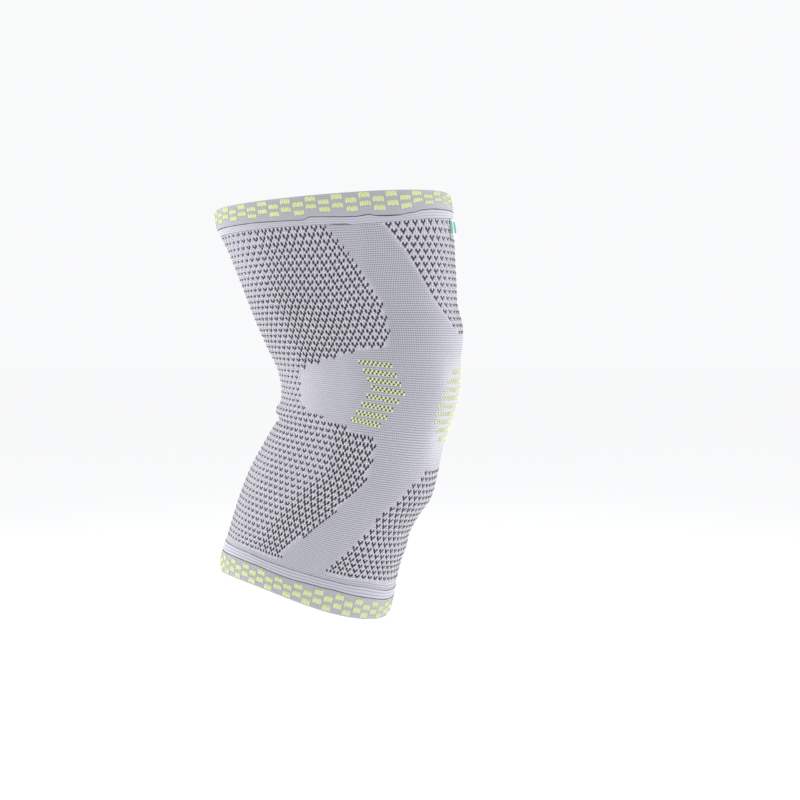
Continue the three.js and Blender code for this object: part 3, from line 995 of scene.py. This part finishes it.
grey = grey_knit()
check = check_knit()
dark = yarn("dark_yarn", colour(24, 21, 36), colour(50, 46, 66))
pale = yarn("pale_yarn", colour(211, 209, 217), colour(237, 235, 240), 0.5)
lime = yarn("lime_yarn", colour(212, 228, 152), colour(230, 242, 188), 0.3)
# painted highlight: a paler copy of the lime yarn for the bars over the kneecap, where the light
# falls brighter
highlit_lime = yarn("highlit_lime_yarn", colour(220, 230, 178), colour(238, 243, 208), 0.4)
# painted shade: dark grains for the shade in the seams' gaps, at the bands' edges and in the open
# folds
seam = yarn("painted_seam_shade", colour(40, 38, 48), colour(76, 75, 88))

body = dress(sleeve_body(), grey, "grey_knit", "sleeve_body")
marks_yarn = dress(mesh_marks(), dark, "grey_knit")
thigh_loops = dress(mesh_loops("thigh_mesh_loops", 0.0, THIGH_LENGTH), pale, "grey_knit")
calf_loops = dress(mesh_loops("calf_mesh_loops", -CALF_LENGTH, 0.0), pale, "grey_knit")
bar_light, bar_highlit, bar_deep = bar_stitches()
dress(bar_light, lime, "grey_knit")
dress(bar_highlit, highlit_lime, "grey_knit")
dress(bar_deep, dark, "grey_knit")

# The rims by name: side, length, height of the welt and rows of checks
TOP = (1, THIGH_LENGTH, TOP_WELT)
BOTTOM = (-1, CALF_LENGTH, BOTTOM_WELT)
top_welt = dress(welt("top_welt_knit", *TOP), check, "check_knit", "top_welt")
bottom_welt = dress(welt("bottom_welt_knit", *BOTTOM), check, "check_knit", "bottom_welt")
top_checks = dress(check_stitches("top_check_yarn", *TOP, TOP_CHECKS), lime, "check_knit")
low_checks = dress(check_stitches("bottom_check_yarn", *BOTTOM, BOTTOM_CHECKS), lime, "check_knit")


def shade_line(slot, name, side, distance, rise, weight):
    return dress(shade_dots(name, side, distance, rise, weight), seam, slot)


# Painted shade: dark dots in the gaps where the welts are sewn on, and at the steps where the bands
# end
TOP_SEWN, BOTTOM_SEWN = THIGH_LENGTH - TOP_WELT - 0.12, CALF_LENGTH - BOTTOM_WELT - 0.12
TOP_LINE, BOTTOM_LINE = HIGH - 0.1, -LOW - 0.1
SEWN_RISE, LINE_RISE = BAND_RISE + 0.04, 0.1
top_sewn = shade_line("check_knit", "top_seam_shade", 1, TOP_SEWN, SEWN_RISE, 0.34)
low_sewn = shade_line("check_knit", "bottom_seam_shade", -1, BOTTOM_SEWN, SEWN_RISE, 0.36)
top_line = shade_line("grey_knit", "top_band_edge_shade", 1, TOP_LINE, LINE_RISE, 0.2)
low_line = shade_line("grey_knit", "bottom_band_edge_shade", -1, BOTTOM_LINE, LINE_RISE, 0.36)
top_fold = open_fold("top_open_fold", 1, TOP_SEWN, BAND_RISE + 0.08, 8.4, 11.3, 0.45)
dress(top_fold, seam, "check_knit")
edge_fold = open_fold("band_open_fold", 1, TOP_LINE, 0.12, 13.9, 16.2, 0.5)
dress(edge_fold, seam, "grey_knit")
tag = dress(side_tag(), woven_tag(), "woven_tag", "side_tag")


# Floor, light and camera

FLOOR = -400.0


def stage_floor():
    """A round white floor far below, out to the horizon."""
    count = 96
    turns = np.linspace(0, 2 * math.pi, count, endpoint=False)
    rings = (400.0, 1200.0, 3000.0, 8000.0, 20000.0)
    points = [(0, 0, FLOOR)]
    for radius in rings:
        points += [(radius * math.cos(t), radius * math.sin(t), FLOOR) for t in turns]
    triangles = [(0, 1 + i, 1 + (i + 1) % count) for i in range(count)]
    quads = []
    for k in range(len(rings) - 1):
        for i in range(count):
            a, b = 1 + k * count + i, 1 + k * count + (i + 1) % count
            quads.append((a, a + count, b + count, b))
    floor = make_mesh("floor", np.array(points), quads, triangles)
    p = Paint("floor_paper")
    paper = p.blend(p.noise(40.0, 3.0), colour(253, 253, 253), colour(255, 255, 255))
    p.feed(p.shader.inputs["Base Color"], paper)
    p.shader.inputs["Roughness"].default_value = 1.0
    p.shader.inputs["Specular IOR Level"].default_value = 0.0
    floor.data.materials.append(p.material)


def towards(azimuth, elevation):
    """The direction from the part to a camera or lamp there, with angles in degrees."""
    a, e = math.radians(azimuth), math.radians(elevation)
    return Vector((math.sin(a) * math.cos(e), -math.cos(a) * math.cos(e), math.sin(e)))


def add_object(name, data, location, facing):
    obj = bpy.data.objects.new(name, data)
    obj.location = location
    obj.rotation_mode = "QUATERNION"
    obj.rotation_quaternion = facing.to_track_quat("-Z", "Y")
    bpy.context.collection.objects.link(obj)
    return obj


def area_light(name, azimuth, power):
    """A tall soft light beside the part."""
    elevation, distance = 12, 1.7
    back = towards(azimuth, elevation)
    data = bpy.data.lights.new(name, "AREA")
    data.shape = "RECTANGLE"
    data.size, data.size_y = 1.1, 1.6
    data.energy = power
    add_object(name, data, back * distance, -back)


stage_floor()
area_light("rim_front", AZIMUTH + 109, 16.0)
area_light("rim_back", AZIMUTH - 110, 19.0)

world = bpy.data.worlds.new("studio")
bpy.context.scene.world = world
world.use_nodes = True
background = world.node_tree.nodes["Background"]
background.inputs[0].default_value = (0.985, 0.99, 1.0, 1)
background.inputs[1].default_value = 0.96

back = towards(AZIMUTH, ELEVATION)
right = (-back).cross(Vector((0, 0, 1))).normalized()
up = right.cross(-back)
lens = bpy.data.cameras.new("camera")
lens.lens = LENS
lens.sensor_width = SENSOR
lens.clip_start, lens.clip_end = 0.05, 60.0
seen_from = right * AIM_RIGHT + up * AIM_UP + back * DISTANCE
bpy.context.scene.camera = add_object("camera", lens, seen_from, -back)
bpy.context.scene.view_settings.view_transform = "Standard"

bpy.context.view_layer.update()
